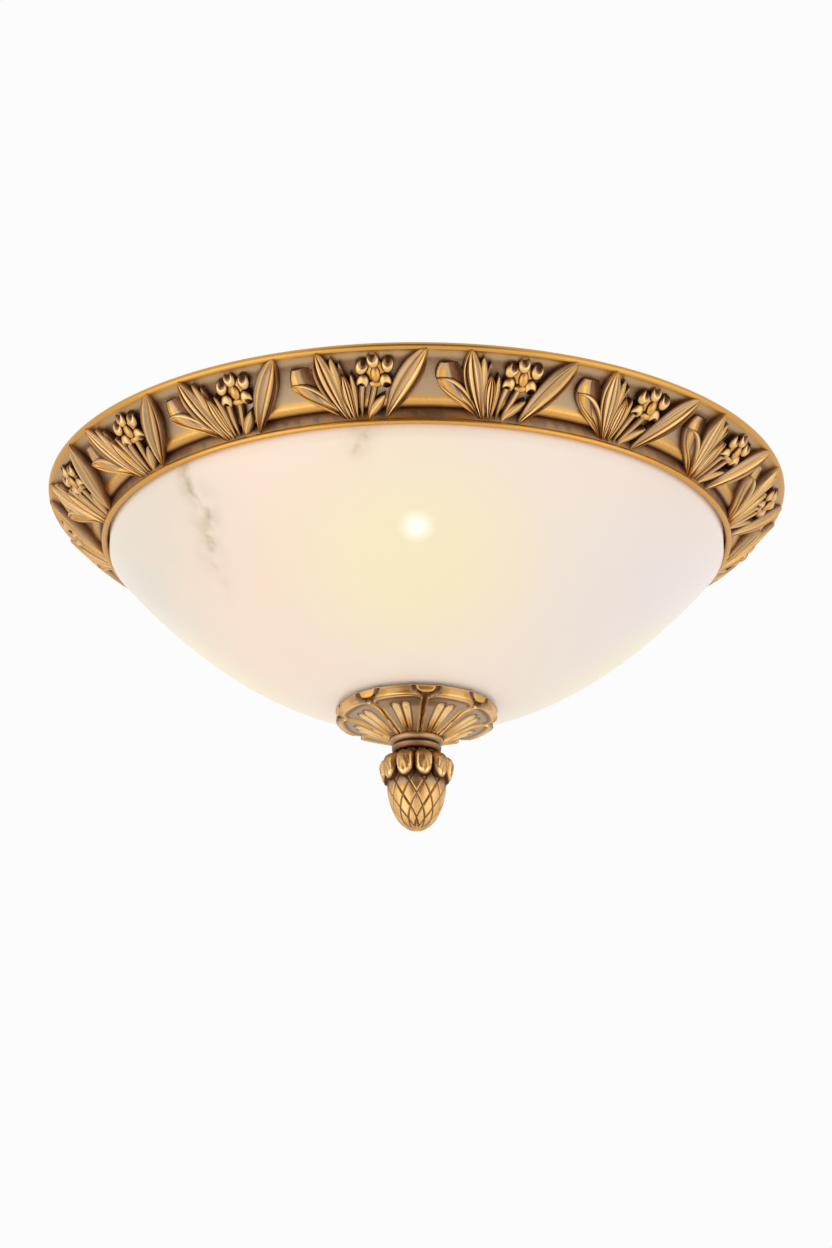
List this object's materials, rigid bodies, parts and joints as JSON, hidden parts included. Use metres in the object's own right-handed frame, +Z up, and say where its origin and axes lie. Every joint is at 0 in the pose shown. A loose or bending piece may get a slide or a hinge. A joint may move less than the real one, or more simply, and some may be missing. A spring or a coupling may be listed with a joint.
{
  "type": "alabaster bowl ceiling light",
  "caption": "Flush ceiling light: a shallow alabaster bowl in a leaf-and-flower brass rim, held by a petal cup and an acorn finial that unscrews so that the bowl comes down.",
  "frame": {"origin": "centre of the ceiling plane, on the upper face of the crossbar and level with the top edge of the rim", "axes": "+Z up into the ceiling; the light hangs below along -Z; the first lamp points to -Y, the side that the picture shows"},
  "size_m": [0.5, 0.5, 0.2378],
  "materials": {
    "antique_brass": "antique, rubbed highlights over a brown patina",
    "brass_screw": "plain",
    "white_pan": "white enamel",
    "zinc_steel": "zinc plated",
    "terminal_plastic": "moulded",
    "rubber": "matt",
    "porcelain": "glazed",
    "lead_sheath": "sheathed lead",
    "alabaster": "polished, translucent, veined",
    "bulb_cap_metal": "nickel plated",
    "frosted_glass": "frosted, lit"
  },
  "bodies": {
    "fixture": {"rim_ring": "antique_brass", "sprig_01": "antique_brass", "sprig_02": "antique_brass", "sprig_03": "antique_brass", "sprig_04": "antique_brass", "sprig_05": "antique_brass", "sprig_06": "antique_brass", "sprig_07": "antique_brass", "sprig_08": "antique_brass", "sprig_09": "antique_brass", "sprig_10": "antique_brass", "sprig_11": "antique_brass", "sprig_12": "antique_brass", "sprig_13": "antique_brass", "sprig_14": "antique_brass", "sprig_15": "antique_brass", "sprig_16": "antique_brass", "rim_screws": "brass_screw", "ceiling_pan": "white_pan", "crossbar": "zinc_steel", "crossbar_studs": "zinc_steel", "crossbar_nuts": "zinc_steel", "cap_nuts": "brass_screw", "centre_rod": "zinc_steel", "rod_nuts": "zinc_steel", "terminal_block": "terminal_plastic", "terminal_screws": "zinc_steel", "earth_screw": "brass_screw", "lead_grommets": "rubber", "lamp_bracket_1": "zinc_steel", "lampholder_1": "porcelain", "lamp_lead_1": "lead_sheath", "lamp_bracket_2": "zinc_steel", "lampholder_2": "porcelain", "lamp_lead_2": "lead_sheath", "lamp_bracket_3": "zinc_steel", "lampholder_3": "porcelain", "lamp_lead_3": "lead_sheath", "bracket_screws": "zinc_steel", "bracket_nuts": "zinc_steel", "holder_screws": "zinc_steel"},
    "shade": {"alabaster_bowl": "alabaster", "bowl_gasket": "rubber", "bowl_bush": "rubber"},
    "cup": {"cup_washer": "rubber", "petal_cup": "antique_brass", "finial_collar": "antique_brass"},
    "finial": {"acorn_finial": "antique_brass"},
    "bulb_1": {"bulb_cap_1": "bulb_cap_metal", "bulb_globe_1": "frosted_glass"},
    "bulb_2": {"bulb_cap_2": "bulb_cap_metal", "bulb_globe_2": "frosted_glass"},
    "bulb_3": {"bulb_cap_3": "bulb_cap_metal", "bulb_globe_3": "frosted_glass"}
  },
  "joints": [
    {"name": "shade_lower", "type": "slide", "parent": "fixture", "child": "shade", "axis": [0, 0, -1], "range_m": [0, 0.18]},
    {"name": "cup_drop", "type": "slide", "parent": "shade", "child": "cup", "axis": [0, 0, -1], "range_m": [0, 0.01]},
    {"name": "finial_turn", "type": "hinge", "parent": "cup", "child": "finial", "pos_m": [0, 0, -0.2], "axis": [0, 0, -1], "range_deg": [0, 3600]},
    {"name": "bulb_1_out", "type": "slide", "parent": "fixture", "child": "bulb_1", "axis": [0, -1, 0], "range_m": [0, 0.03]},
    {"name": "bulb_2_out", "type": "slide", "parent": "fixture", "child": "bulb_2", "axis": [0.866, 0.5, 0], "range_m": [0, 0.03]},
    {"name": "bulb_3_out", "type": "slide", "parent": "fixture", "child": "bulb_3", "axis": [-0.866, 0.5, 0], "range_m": [0, 0.03]}
  ],
  "couplings": [
    {"joint": "finial_turn", "follows": "cup_drop", "rad_per_m": 6283.2}
  ]
}
